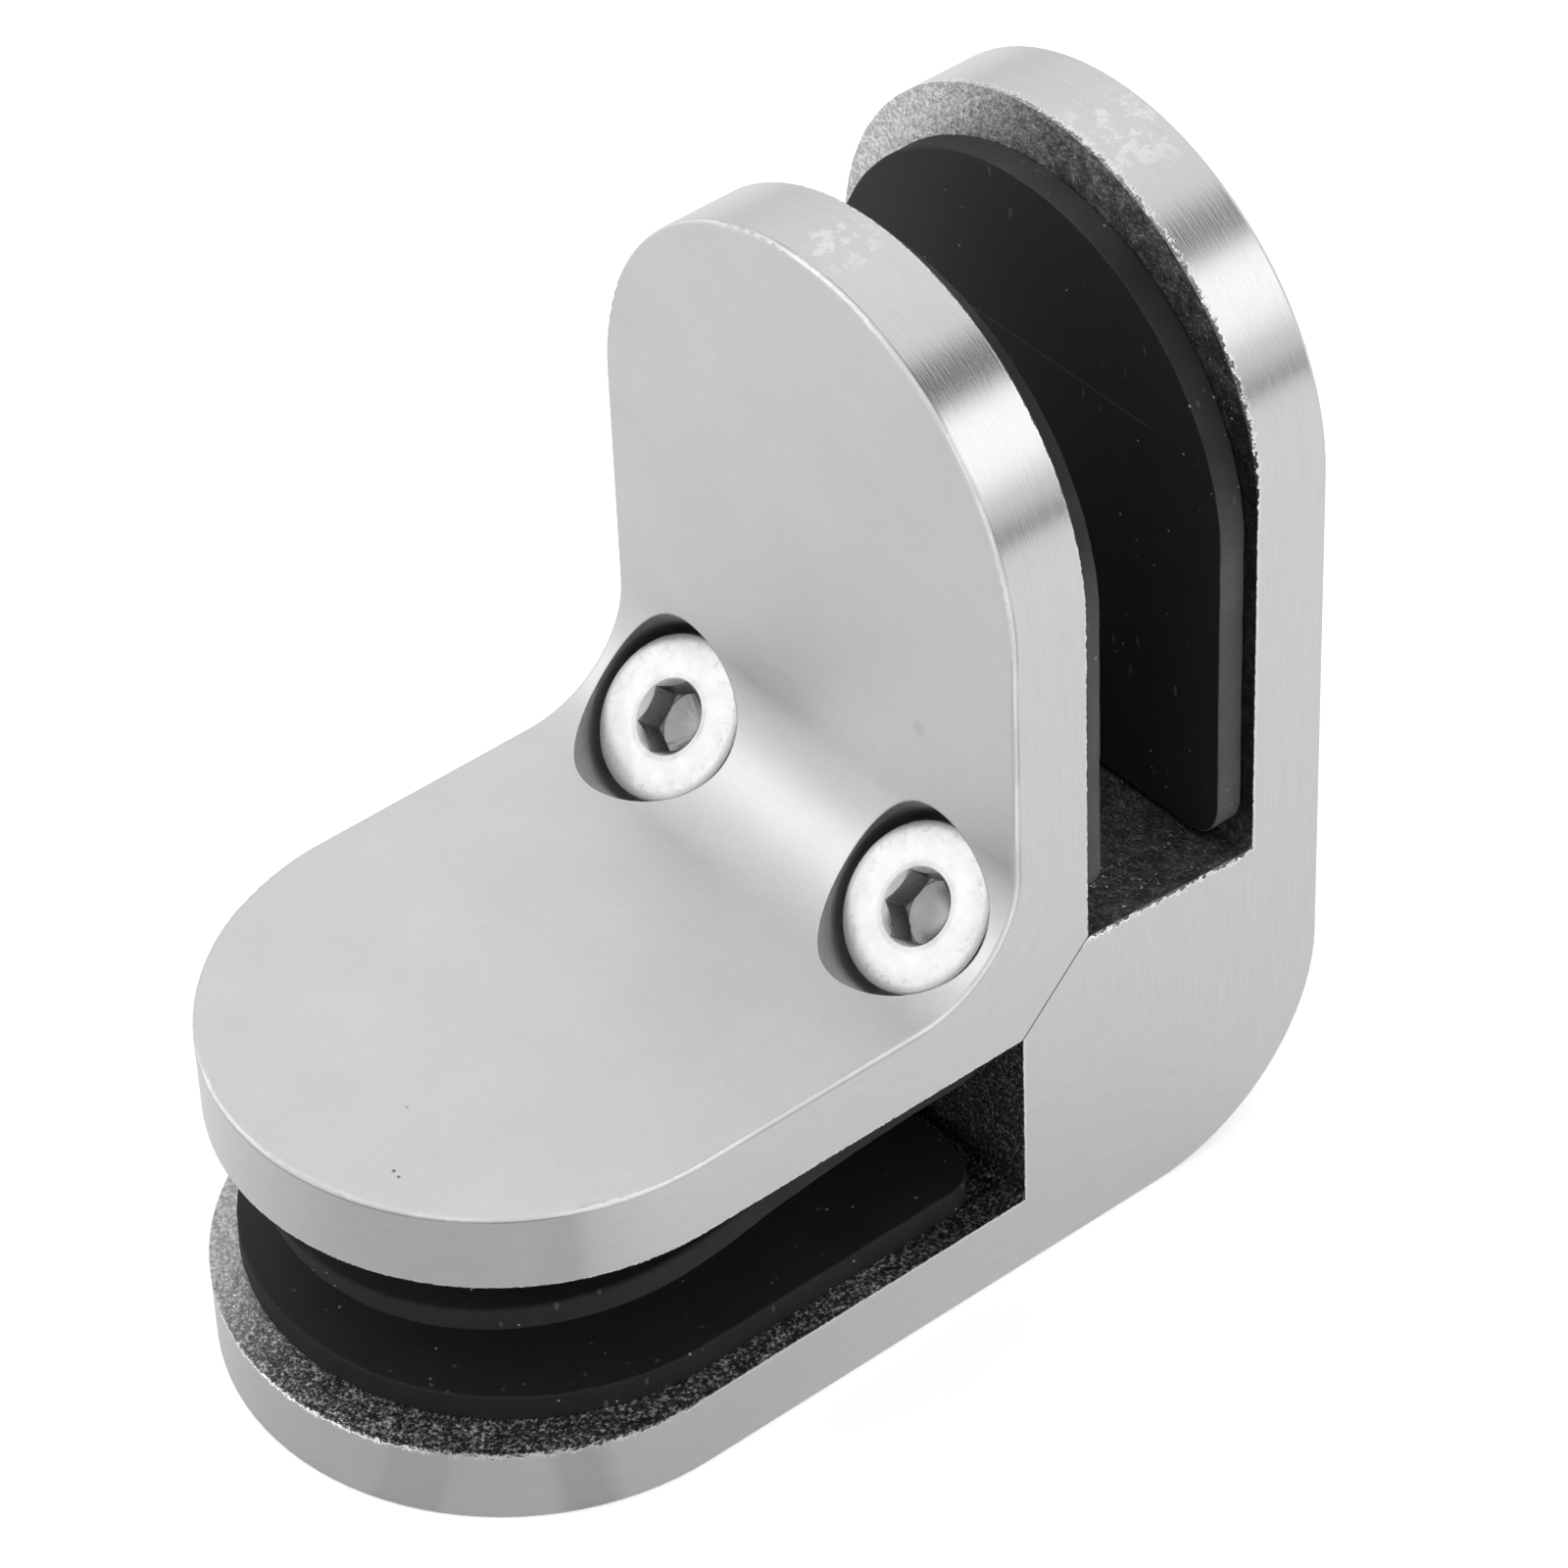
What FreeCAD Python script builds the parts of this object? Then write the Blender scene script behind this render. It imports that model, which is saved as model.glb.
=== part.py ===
import FreeCAD, Part
import math
import os

import Sketcher
from FreeCAD import Placement, Rotation, Vector

# Glass panel clamp for two panes at a right angle, in millimetres
# X runs along the foot wing, Y across the clamp, Z up; the origin is the middle of the underside

# Driving sizes, each one set by itself
SIZES = {
    "clamp_width": 45.0,
    "body_reach": 82.0,
    "plate_setback": 1.0,
    "wing_thickness": 6.8,
    "plate_thickness": 6.8,
    "slot_width": 16.0,
    "seat_leg": 6.4,
    "outer_radius": 16.0,
    "inner_radius": 9.2,
    "slot_corner_radius": 0.5,
    "upright_slot_fall": 1.0,
    "seat_edge_radius": 0.6,
    "rim_radius": 0.35,
    "pad_thickness": 2.3,
    "pad_length": 47.8,
    "body_upright_pad_length": 48.8,
    "pad_side_inset": 1.2,
    "pad_corner_radius": 3.5,
    "body_foot_pad_gap": 1.8,
    "body_foot_pad_shift": 1.0,
    "plate_pad_gap": 1.3,
    "pad_stuck_length": 5.0,
    "pad_droop_radius": 120.0,
    "screw_inset": 8.35,
    "seat_web": 3.4,
    "thread_diameter": 8.0,
    "shank_length": 20.0,
    "shank_chamfer": 0.8,
    "head_diameter": 13.0,
    "head_height": 5.0,
    "head_chamfer": 0.15,
    "socket_flats": 5.0,
    "socket_depth": 2.9,
    "socket_lead": 0.1,
    "head_clearance": 0.6,
    "plate_hole_clearance": 0.2,
    "thread_clearance": 0.05,
    "hole_bottom_gap": 3.0,
}

# Fixed shares of the right angle, the hexagon and the drill's point
HALF_ROOT = math.sqrt(0.5)
HEX_CORNER = 1.0 / math.sqrt(3.0)
HEX_SIDES = 6
FULL_TURN = 360.0
DRILL_POINT_ANGLE = 118.0
DRILL_SLOPE = 1.0 / math.tan(math.radians(DRILL_POINT_ANGLE / 2.0))

# How far the screws lean out of the corner, in degrees
SCREW_LEAN = 45.0

# How far the upright body pad stands clear of the round slot corner, as a share of its radius
CORNER_CLEAR = 1.2

# How far the loose end of the foot plate's pad hangs down, as an angle in radians
PAD_DROOP = math.radians(11.7)

# How far each screw stopped turning, in degrees about its own axis
SOCKET_TURNS = {"left_screw": 5.0, "right_screw": 50.0}

# An edge lies on a surface when it's this close at these shares of its length
TOUCHING = 0.001
EDGE_SAMPLES = (0.1, 0.5, 0.9)

doc = FreeCAD.newDocument("glass_panel_clamp")
sheet = doc.addObject("Spreadsheet::Sheet", "sizes")
for row, (alias, value) in enumerate(SIZES.items(), start=1):
    sheet.set(f"A{row}", alias)
    sheet.set(f"B{row}", str(value))
    sheet.setAlias(f"B{row}", alias)
doc.recompute()


class Length:
    """A length that carries both its number and its formula in the sheet's names."""

    def __init__(self, value, formula):
        self.value = value
        self.formula = formula

    def __add__(self, other):
        return Length(self.value + other.value, f"({self.formula} + {other.formula})")

    def __sub__(self, other):
        return Length(self.value - other.value, f"({self.formula} - {other.formula})")

    def __mul__(self, share):
        return Length(self.value * share, f"({self.formula} * {share:.12f})")

    def __neg__(self):
        return self * -1.0


def size(alias):
    return Length(SIZES[alias], f"sizes.{alias}")


# The L-shaped profile, measured from its square outer corner
ZERO = Length(0.0, "0")
half_width = size("clamp_width") * 0.5
wing = size("wing_thickness")
back = wing + size("slot_width")
front = back + size("plate_thickness")
floor = back + size("seat_leg")
low_floor = floor - size("upright_slot_fall")
body_tip = size("body_reach")
plate_tip = body_tip - size("plate_setback")

# The screws, measured along their axis from the underside of the head
seat_face = -size("seat_web")
shank_end = -size("shank_length")
head_top = size("head_height")
thread_radius = size("thread_diameter") * 0.5
head_radius = size("head_diameter") * 0.5
head_seat = back + size("seat_leg") * 0.5 + size("seat_web") * HALF_ROOT
screw_side = half_width - size("screw_inset")


class Line:
    """A straight edge that ends at a corner."""

    def __init__(self, across, up):
        self.end = (across, up)


class Bend:
    """A round edge that ends at a corner, about a centre; left is +1 and right is -1."""

    def __init__(self, across, up, centre_across, centre_up, radius, turn):
        self.end = (across, up)
        self.centre = (centre_across, centre_up)
        self.radius = radius
        self.turn = turn


def pin(sketch, edge, vertex, place):
    """Hold a point of an edge at its place, given as (across, up); None leaves one free."""
    for direction, axis, length in (("DistanceX", -2, place[0]), ("DistanceY", -1, place[1])):
        if length is None:
            continue
        if length is ZERO:
            sketch.addConstraint(Sketcher.Constraint("PointOnObject", edge, vertex, axis))
            continue
        index = sketch.addConstraint(Sketcher.Constraint(direction, -1, 1, edge, vertex, length.value))
        sketch.setExpression(f"Constraints[{index}]", length.formula)


def beside(corner, centre):
    """The coordinate that fixes where a round edge ends: the one its end shares with the centre."""
    run = abs(corner[0].value - centre[0].value)
    rise = abs(corner[1].value - centre[1].value)
    return (corner[0], None) if run < rise else (None, corner[1])


def draw(sketch, edges):
    """A closed outline of lines and bends, with every corner held by the sheet."""
    base = sketch.GeometryCount
    joints = []
    for index, edge in enumerate(edges):
        corner = edges[index - 1].end
        start = Vector(corner[0].value, corner[1].value, 0)
        end = Vector(edge.end[0].value, edge.end[1].value, 0)
        if isinstance(edge, Line):
            sketch.addGeometry(Part.LineSegment(start, end), False)
            joints.append((1, 2))
            continue
        centre = Vector(edge.centre[0].value, edge.centre[1].value, 0)
        circle = Part.Circle(centre, Vector(0, 0, 1), edge.radius.value)
        first, last = (start, end) if edge.turn > 0 else (end, start)
        first_angle = math.atan2(first.y - centre.y, first.x - centre.x)
        last_angle = math.atan2(last.y - centre.y, last.x - centre.x)
        sketch.addGeometry(Part.ArcOfCircle(circle, first_angle, last_angle), False)
        joints.append((1, 2) if edge.turn > 0 else (2, 1))
    for index, edge in enumerate(edges):
        following = (index + 1) % len(edges)
        ends = (base + index, joints[index][1], base + following, joints[following][0])
        sketch.addConstraint(Sketcher.Constraint("Coincident", *ends))
        if isinstance(edge, Bend):
            pin(sketch, base + index, 3, edge.centre)
            radius = sketch.addConstraint(Sketcher.Constraint("Radius", base + index, edge.radius.value))
            sketch.setExpression(f"Constraints[{radius}]", edge.radius.formula)
        bends = [bend for bend in (edge, edges[following]) if isinstance(bend, Bend)]
        if not bends:
            pin(sketch, base + index, joints[index][1], edge.end)
        for bend in bends:
            pin(sketch, base + index, joints[index][1], beside(edge.end, bend.centre))


def new_body(label):
    """A sub-part that is measured from the clamp's square outer corner."""
    body = doc.addObject("PartDesign::Body", label)
    body.Label = label
    body.setExpression("Placement.Base.x", "-sizes.body_reach / 2")
    return body


def new_sketch(body, name, plane, offset=ZERO, turn=0.0):
    """An empty sketch on an origin plane of its own body, moved along the normal and turned."""
    sketch = body.newObject("Sketcher::SketchObject", name)
    plane_object = [item for item in body.Origin.OriginFeatures if item.Role == plane][0]
    sketch.AttachmentSupport = (plane_object, [""])
    sketch.MapMode = "FlatFace"
    sketch.AttachmentOffset = Placement(Vector(0, 0, offset.value), Rotation(Vector(0, 0, 1), turn))
    if offset is not ZERO:
        sketch.setExpression("AttachmentOffset.Base.z", offset.formula)
    return sketch


def pad_across(body, sketch, name, width):
    """A pad that reaches as far to each side of its sketch."""
    pad = body.newObject("PartDesign::Pad", name)
    pad.Profile = sketch
    pad.SideType = "Symmetric"
    pad.Length = width.value
    pad.setExpression("Length", width.formula)
    return pad


def cut_through(body, sketch, name):
    """A pocket through everything on both sides of its sketch."""
    pocket = body.newObject("PartDesign::Pocket", name)
    pocket.Profile = sketch
    pocket.SideType = "Symmetric"
    pocket.Type = "ThroughAll"
    return pocket


def round_tip(body, name, plane, tip, along_first):
    """Half-round wing tip, as wide as the wing: the corners beside the half circle are cut away."""
    sketch = new_sketch(body, f"{name}_outline", plane)
    straight_end = tip - half_width
    clear_side = half_width + wing
    clear_tip = tip + wing
    edges = [
        Line(half_width, straight_end),
        Bend(-half_width, straight_end, ZERO, straight_end, half_width, 1),
        Line(-clear_side, straight_end),
        Line(-clear_side, clear_tip),
        Line(clear_side, clear_tip),
        Line(clear_side, straight_end),
    ]
    if along_first:
        for edge in edges:
            edge.end = (edge.end[1], edge.end[0])
        edges[1].centre = (straight_end, ZERO)
        edges[1].turn = -1
    draw(sketch, edges)
    return cut_through(body, sketch, name)


def find_edges(feature, test):
    """Names of the edges whose every sampled point passes the test."""
    names = []
    for index, edge in enumerate(feature.Shape.Edges, start=1):
        span = edge.LastParameter - edge.FirstParameter
        points = [edge.valueAt(edge.FirstParameter + span * share) for share in EDGE_SAMPLES]
        if all(test(point) for point in points):
            names.append(f"Edge{index}")
    return names


def round_edges(body, feature, name, radius, test):
    doc.recompute()
    fillet = body.newObject("PartDesign::Fillet", name)
    fillet.Base = (feature, find_edges(feature, test))
    fillet.Radius = radius.value
    fillet.setExpression("Radius", radius.formula)
    return fillet


def near(first, second):
    return abs(first - second) < TOUCHING


def turned_cut(body, name, side, seat, edges):
    """A round hole at 45 degrees: a half profile turned about the screw's axis."""
    axis_shift = seat * (2.0 * HALF_ROOT)
    sketch = new_sketch(body, f"{name}_profile", "XZ_Plane", -side, -SCREW_LEAN)
    draw(sketch, [shifted(edge, axis_shift) for edge in edges])
    groove = body.newObject("PartDesign::Groove", name)
    groove.Profile = sketch
    groove.ReferenceAxis = (sketch, ["V_Axis"])
    groove.Angle = FULL_TURN
    return groove


def shifted(edge, distance):
    """The same straight edge, further along the screw's axis."""
    return Line(edge.end[0], edge.end[1] + distance)


def make_clamp_body():
    """The outer casting: foot wing, upright wing and the solid corner between the two slots."""
    body = new_body("clamp_body")
    profile = new_sketch(body, "body_profile", "XZ_Plane")
    radius = size("outer_radius")
    draw(profile, [
        Line(body_tip, ZERO),
        Line(body_tip, wing),
        Line(floor, wing),
        Line(floor, back),
        Line(back, floor),
        Line(wing, low_floor),
        Line(wing, body_tip),
        Line(ZERO, body_tip),
        Line(ZERO, radius),
        Bend(radius, ZERO, radius, radius, radius, 1),
    ])
    pad_across(body, profile, "body_casting", size("clamp_width"))
    round_tip(body, "upright_tip", "YZ_Plane", body_tip, False)
    foot_tip = round_tip(body, "foot_tip", "XY_Plane", body_tip, True)

    def slot_corner(point):
        return (near(point.x, floor.value) and near(point.z, wing.value)) or (
            near(point.x, wing.value) and near(point.z, low_floor.value))

    corners = round_edges(body, foot_tip, "slot_corners", size("slot_corner_radius"), slot_corner)

    def outer_rim(point):
        on_side = near(abs(point.y), half_width.value)
        on_upright = near(point.x, 0) and (on_side or point.z > body_tip.value - half_width.value)
        on_foot = near(point.z, 0) and (on_side or point.x > body_tip.value - half_width.value)
        reach = math.hypot(point.x - radius.value, point.z - radius.value)
        on_corner = on_side and near(reach, radius.value) and max(point.x, point.z) < radius.value
        return on_upright or on_foot or on_corner

    round_edges(body, corners, "outer_rim", size("rim_radius"), outer_rim)
    hole_radius = thread_radius + size("thread_clearance")
    hole_end = shank_end - size("hole_bottom_gap")
    lead = size("shank_chamfer")
    for side, name in ((-screw_side, "left_thread_hole"), (screw_side, "right_thread_hole")):
        turned_cut(body, name, side, head_seat, [
            Line(ZERO, hole_end - hole_radius * DRILL_SLOPE),
            Line(hole_radius, hole_end),
            Line(hole_radius, seat_face + lead),
            Line(ZERO, seat_face + lead),
        ])
    return body


def make_clamp_plate():
    """The inner casting: an L with a round inner corner, a 45 degree seat and two screw recesses."""
    body = new_body("clamp_plate")
    profile = new_sketch(body, "plate_profile", "XZ_Plane")
    bend_end = front + size("inner_radius")
    draw(profile, [
        Line(plate_tip, back),
        Line(plate_tip, front),
        Line(bend_end, front),
        Bend(front, bend_end, bend_end, bend_end, size("inner_radius"), -1),
        Line(front, plate_tip),
        Line(back, plate_tip),
        Line(back, floor),
        Line(floor, back),
    ])
    pad_across(body, profile, "plate_casting", size("clamp_width"))
    round_tip(body, "upright_tip", "YZ_Plane", plate_tip, False)
    foot_tip = round_tip(body, "foot_tip", "XY_Plane", plate_tip, True)

    def seat_edge(point):
        return (near(point.x, floor.value) and near(point.z, back.value)) or (
            near(point.x, back.value) and near(point.z, floor.value))

    seat = round_edges(body, foot_tip, "seat_edges", size("seat_edge_radius"), seat_edge)

    def inner_rim(point):
        on_side = near(abs(point.y), half_width.value)
        on_upright = near(point.x, front.value) and (on_side or point.z > plate_tip.value - half_width.value)
        on_foot = near(point.z, front.value) and (on_side or point.x > plate_tip.value - half_width.value)
        reach = math.hypot(point.x - bend_end.value, point.z - bend_end.value)
        on_bend = on_side and near(reach, size("inner_radius").value)
        return on_upright or on_foot or on_bend

    round_edges(body, seat, "inner_rim", size("rim_radius"), inner_rim)
    hole_radius = thread_radius + size("plate_hole_clearance")
    recess_radius = head_radius + size("head_clearance")
    recess_end = plate_tip - head_seat
    for side, name in ((-screw_side, "left_recess"), (screw_side, "right_recess")):
        turned_cut(body, name, side, head_seat, [
            Line(ZERO, seat_face - hole_radius),
            Line(hole_radius, seat_face - hole_radius),
            Line(hole_radius, ZERO),
            Line(recess_radius, ZERO),
            Line(recess_radius, recess_end),
            Line(ZERO, recess_end),
        ])
    return body


def pad_outline(near_end, length):
    """A pad's D shape, half round at the tip like the wing, drawn as (across, along)."""
    side = half_width - size("pad_side_inset")
    corner = size("pad_corner_radius")
    straight_end = near_end + length - side
    return [
        Line(side, straight_end),
        Bend(-side, straight_end, ZERO, straight_end, side, 1),
        Line(-side, near_end + corner),
        Bend(corner - side, near_end, corner - side, near_end + corner, corner, 1),
        Line(side - corner, near_end),
        Bend(side, near_end + corner, side - corner, near_end + corner, corner, 1),
    ]


def swapped(edges):
    """The same outline with its two directions exchanged, for a sketch on the XY plane."""
    for edge in edges:
        edge.end = (edge.end[1], edge.end[0])
        if isinstance(edge, Bend):
            edge.centre = (edge.centre[1], edge.centre[0])
            edge.turn = -edge.turn
    return edges


def make_pad(label, plane, face, outward, near_end, length):
    """A flat rubber sheet on a wing's inner face."""
    body = new_body(label)
    sketch = new_sketch(body, "pad_outline", plane, face)
    edges = pad_outline(near_end, length)
    draw(sketch, swapped(edges) if plane == "XY_Plane" else edges)
    pad = body.newObject("PartDesign::Pad", "sheet")
    pad.Profile = sketch
    pad.Length = SIZES["pad_thickness"]
    pad.setExpression("Length", "sizes.pad_thickness")
    pad.Reversed = not outward
    return body


def make_body_upright_pad():
    """This pad was cut longer, and reaches down into the corner where the slot's floor falls."""
    near_end = low_floor + size("slot_corner_radius") * CORNER_CLEAR
    return make_pad("body_upright_pad", "YZ_Plane", wing, True, near_end, size("body_upright_pad_length"))


def make_body_foot_pad():
    """This pad is stuck a little off the middle of its wing, away from the right screw."""
    near_end = floor + size("body_foot_pad_gap")
    body = make_pad("body_foot_pad", "XY_Plane", wing, True, near_end, size("pad_length"))
    body.setExpression("Placement.Base.y", "-sizes.body_foot_pad_shift")
    return body


def make_plate_upright_pad():
    near_end = floor + size("plate_pad_gap")
    return make_pad("plate_upright_pad", "YZ_Plane", back, False, near_end, size("pad_length"))


def make_loose_pad():
    """The foot plate's pad, stuck only at its inner end: the rest curves down, then hangs straight."""
    body = new_body("plate_foot_pad")
    near_end = floor + size("plate_pad_gap")
    bend_start = near_end + size("pad_stuck_length")
    upper_radius = size("pad_droop_radius")
    lower_radius = upper_radius - size("pad_thickness")
    underside = back - size("pad_thickness")
    centre_up = back - upper_radius
    sine, cosine = math.sin(PAD_DROOP), math.cos(PAD_DROOP)
    straight = size("pad_length") - size("pad_stuck_length") - upper_radius * PAD_DROOP
    bend_end = bend_start + upper_radius * sine
    tip = bend_end + straight * cosine
    lower_bend_end = bend_start + lower_radius * sine
    profile = new_sketch(body, "pad_profile", "XZ_Plane")
    draw(profile, [
        Line(near_end, underside),
        Line(bend_start, underside),
        Bend(lower_bend_end, centre_up + lower_radius * cosine, bend_start, centre_up, lower_radius, -1),
        Line(lower_bend_end + straight * cosine, centre_up + lower_radius * cosine - straight * sine),
        Line(tip, centre_up + upper_radius * cosine - straight * sine),
        Line(bend_end, centre_up + upper_radius * cosine),
        Bend(bend_start, back, bend_start, centre_up, upper_radius, 1),
        Line(near_end, back),
    ])
    pad_across(body, profile, "bent_sheet", size("clamp_width"))
    outline = new_sketch(body, "pad_outline", "XY_Plane")
    inner_clear = near_end - wing
    outer_clear = tip + wing
    side_clear = half_width + wing
    draw(outline, [
        Line(inner_clear, -side_clear),
        Line(outer_clear, -side_clear),
        Line(outer_clear, side_clear),
        Line(inner_clear, side_clear),
    ])
    draw(outline, swapped(pad_outline(near_end, tip - near_end)))
    cut_through(body, outline, "trimmed_sheet")
    return body


def make_screw(label, side):
    """Low-head socket screw, turned about its own axis, which leans 45 degrees out of the corner."""
    body = doc.addObject("PartDesign::Body", label)
    body.Label = label
    body.Placement = Placement(Vector(0, 0, 0), Rotation(Vector(0, 1, 0), SCREW_LEAN))
    place = (head_seat - body_tip * 0.5, side, head_seat)
    for axis, length in zip("xyz", place):
        body.setExpression(f"Placement.Base.{axis}", length.formula)
    chamfer = size("shank_chamfer")
    rim = size("head_chamfer")
    profile = new_sketch(body, "screw_profile", "XZ_Plane")
    draw(profile, [
        Line(ZERO, shank_end),
        Line(thread_radius - chamfer, shank_end),
        Line(thread_radius, shank_end + chamfer),
        Line(thread_radius, ZERO),
        Line(head_radius, ZERO),
        Line(head_radius, head_top - rim),
        Line(head_radius - rim, head_top),
        Line(ZERO, head_top),
    ])
    turned = body.newObject("PartDesign::Revolution", "turned_blank")
    turned.Profile = profile
    turned.ReferenceAxis = (profile, ["V_Axis"])
    turned.Angle = FULL_TURN
    corner = size("socket_flats") * HEX_CORNER
    hexagon = new_sketch(body, "socket_hexagon", "XY_Plane", head_top)
    corners = []
    for step in range(HEX_SIDES):
        angle = math.radians(SOCKET_TURNS[label] + FULL_TURN / HEX_SIDES * step)
        corners.append(Line(corner * math.cos(angle), corner * math.sin(angle)))
    draw(hexagon, corners)
    socket = body.newObject("PartDesign::Pocket", "hexagon_socket")
    socket.Profile = hexagon
    socket.Length = SIZES["socket_depth"]
    socket.setExpression("Length", "sizes.socket_depth")
    flat = size("socket_flats") * 0.5
    socket_floor = head_top - size("socket_depth")
    lead_radius = corner + size("socket_lead")
    lead_depth = lead_radius - flat
    drill = new_sketch(body, "socket_drill", "XZ_Plane")
    draw(drill, [
        Line(ZERO, socket_floor - flat * DRILL_SLOPE),
        Line(flat, socket_floor),
        Line(flat, head_top - lead_depth),
        Line(lead_radius, head_top),
        Line(ZERO, head_top),
    ])
    lead = body.newObject("PartDesign::Groove", "socket_lead")
    lead.Profile = drill
    lead.ReferenceAxis = (drill, ["V_Axis"])
    lead.Angle = FULL_TURN
    return body


parts = [
    make_clamp_body(),
    make_clamp_plate(),
    make_body_upright_pad(),
    make_body_foot_pad(),
    make_plate_upright_pad(),
    make_loose_pad(),
    make_screw("left_screw", -screw_side),
    make_screw("right_screw", screw_side),
]
doc.recompute()

# Nothing is written unless every feature is sound
for item in doc.Objects:
    if "Invalid" in item.State or "Error" in item.State:
        raise RuntimeError(f"{item.Label} failed: {item.State}")
for part in parts:
    if part.Shape.isNull() or not part.Shape.isValid() or len(part.Shape.Solids) != 1:
        raise RuntimeError(f"{part.Label} is not one valid solid")

os.makedirs("parts", exist_ok=True)
for part in parts:
    part.Shape.exportStep(f"parts/{part.Label}.step")
    box = part.Shape.BoundBox
    print(f"{part.Label}: {part.Shape.Volume:.1f} mm3, X {box.XMin:.2f} to {box.XMax:.2f}, "
          f"Y {box.YMin:.2f} to {box.YMax:.2f}, Z {box.ZMin:.2f} to {box.ZMax:.2f}")
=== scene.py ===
import math

import bmesh
import bpy
from mathutils import Matrix, Vector, noise


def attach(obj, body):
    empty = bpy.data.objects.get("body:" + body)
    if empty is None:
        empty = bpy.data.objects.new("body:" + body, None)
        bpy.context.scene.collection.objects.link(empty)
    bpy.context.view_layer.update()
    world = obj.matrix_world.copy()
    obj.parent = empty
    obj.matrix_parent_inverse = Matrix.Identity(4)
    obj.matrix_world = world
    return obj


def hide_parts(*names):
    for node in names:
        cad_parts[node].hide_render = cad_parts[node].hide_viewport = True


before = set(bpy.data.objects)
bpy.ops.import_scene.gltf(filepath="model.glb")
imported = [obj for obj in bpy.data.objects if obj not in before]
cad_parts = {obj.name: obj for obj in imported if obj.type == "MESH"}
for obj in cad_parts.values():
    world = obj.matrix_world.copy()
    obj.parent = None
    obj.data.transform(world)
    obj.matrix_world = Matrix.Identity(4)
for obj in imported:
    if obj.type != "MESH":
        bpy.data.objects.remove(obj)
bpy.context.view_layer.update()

MM = 0.001

# The castings, in millimetres from the clamp's square outer corner
CORNER_X = -41.0
WING_THICKNESS = 6.8
PLATE_FRONT = 29.6
INNER_RADIUS = 9.2
SLOT_DEPTH = 16.0
SLOT_END = 29.2
UPRIGHT_SLOT_FALL = 1.0
SEAT_LINE = 52.0
RIM_RADIUS = 0.35

# The screws, whose axes lean 45 degrees out of the corner
SCREW_AXIS = Vector((math.sqrt(0.5), 0.0, math.sqrt(0.5)))
SCREW_SEAT = 28.4042
SCREW_SIDES = {"left_screw": -14.15, "right_screw": 14.15}
SHANK_RADIUS = 4.0
SHANK_LENGTH = 20.0
SHANK_CHAMFER = 0.8
HEAD_OVERLAP = 0.3
HEAD_HEIGHT = 5.0
HEAD_RADIUS = 6.5
HEAD_ROUNDING = 0.05
SOCKET_RADIUS = 3.1
RECESS_RADIUS = 7.1

# The thread: pitch and depth in millimetres, and its groove's reach and flanks as shares of half a pitch
THREAD_PITCH = 1.25
THREAD_DEPTH = 0.72
GROOVE_REACH = 0.87
FLANK_WIDTH = 0.62
POINTS_AROUND = 60
POINTS_ALONG = 220
WHOLE_TURNS = 50.0

# The pads' cut edges, in millimetres: rounding, step, and each sway's scale per millimetre and its size
PAD_EDGE_RADIUS = 0.2
LOOSE_PAD_EDGE_RADIUS = 0.35
PAD_EDGE_STEP = 0.8
LONG_SWAY = (0.25, 0.06)
SHORT_SWAY = (0.9, 0.05)

# A fixed seed, because Blender's noise takes its seed from the clock otherwise
SWAY_SEED = 1

# The foot plate's pad, which has come loose and hangs down
PAD_THICKNESS = 2.3
PAD_CORNER_RADIUS = 3.5
PAD_STUCK_LENGTH = 5.0
PAD_BEND_RADIUS = 120.0
PAD_DROOP = math.radians(11.7)
CORNER_STEPS = 6
STRAIGHT_STEPS = 31
TIP_STEPS = 40

# Small dark marks on the plate's faces: centre, radius and how dark
PLATE_MARKS = (
    ((75.3, 8.8, 29.6), 0.20, 0.7),
    ((75.4, 9.5, 29.6), 0.17, 0.7),
    ((70.7, 4.3, 29.6), 0.12, 0.6),
    ((29.6, 12.2, 46.2), 0.80, 0.10),
)

# Pale scuffs on top of the upright wings' rims: centre and radius
BODY_SCUFF = ((3.6, 4.5, 81.5), 5.5)
PLATE_SCUFF = ((26.2, 0.8, 82.0), 4.0)

# The long scratch on the upright body pad: its height, half thickness and two ends
PAD_SCRATCH = (63.4, 0.05, -5.0, 13.0)

# How the scratch fades on the way out to the plate's upright pad
PAD_SCRATCH_FADE = (28.4042, 16.0)

# Noises that the finishes are made from: scale per millimetre, detail and roughness
NOISES = {
    "mottle": (0.12, 5.0, 0.6),
    "stretches": (0.13, 2.0, 0.5),
    "nicked parts": (0.16, 1.0, 0.5),
    "dusty parts": (0.2, 1.0, 0.5),
    "rubber clouds": (0.25, 4.0, 0.6),
    "steel clouds": (0.6, 4.0, 0.65),
    "scuffs": (0.8, 4.0, 0.7),
    "swells": (1.1, 2.0, 0.5),
    "head wear": (1.6, 4.0, 0.8),
    "chips": (2.2, 3.0, 0.7),
    "specks": (3.2, 3.0, 0.8),
    "pits": (3.6, 3.0, 0.7),
    "rubber grain": (5.0, 4.0, 0.7),
    "steel grain": (9.0, 3.0, 0.6),
}

# Panels of the studio: direction, full and outer half angles in degrees, and how much brighter each is
STUDIO_PANELS = (
    ((0.655, -0.595, 0.466), 14.0, 38.0, 0.38),
    ((-0.466, -0.595, 0.655), 12.0, 40.0, 0.05),
    ((-0.449, 0.719, 0.530), 9.0, 20.0, 0.66),
    ((-0.416, 0.416, 0.809), 4.0, 14.0, -0.95),
    ((-0.468, 0.881, -0.070), 4.0, 14.0, -0.66),
)
STUDIO_GLOW = (0.80, 1.0)

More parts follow.
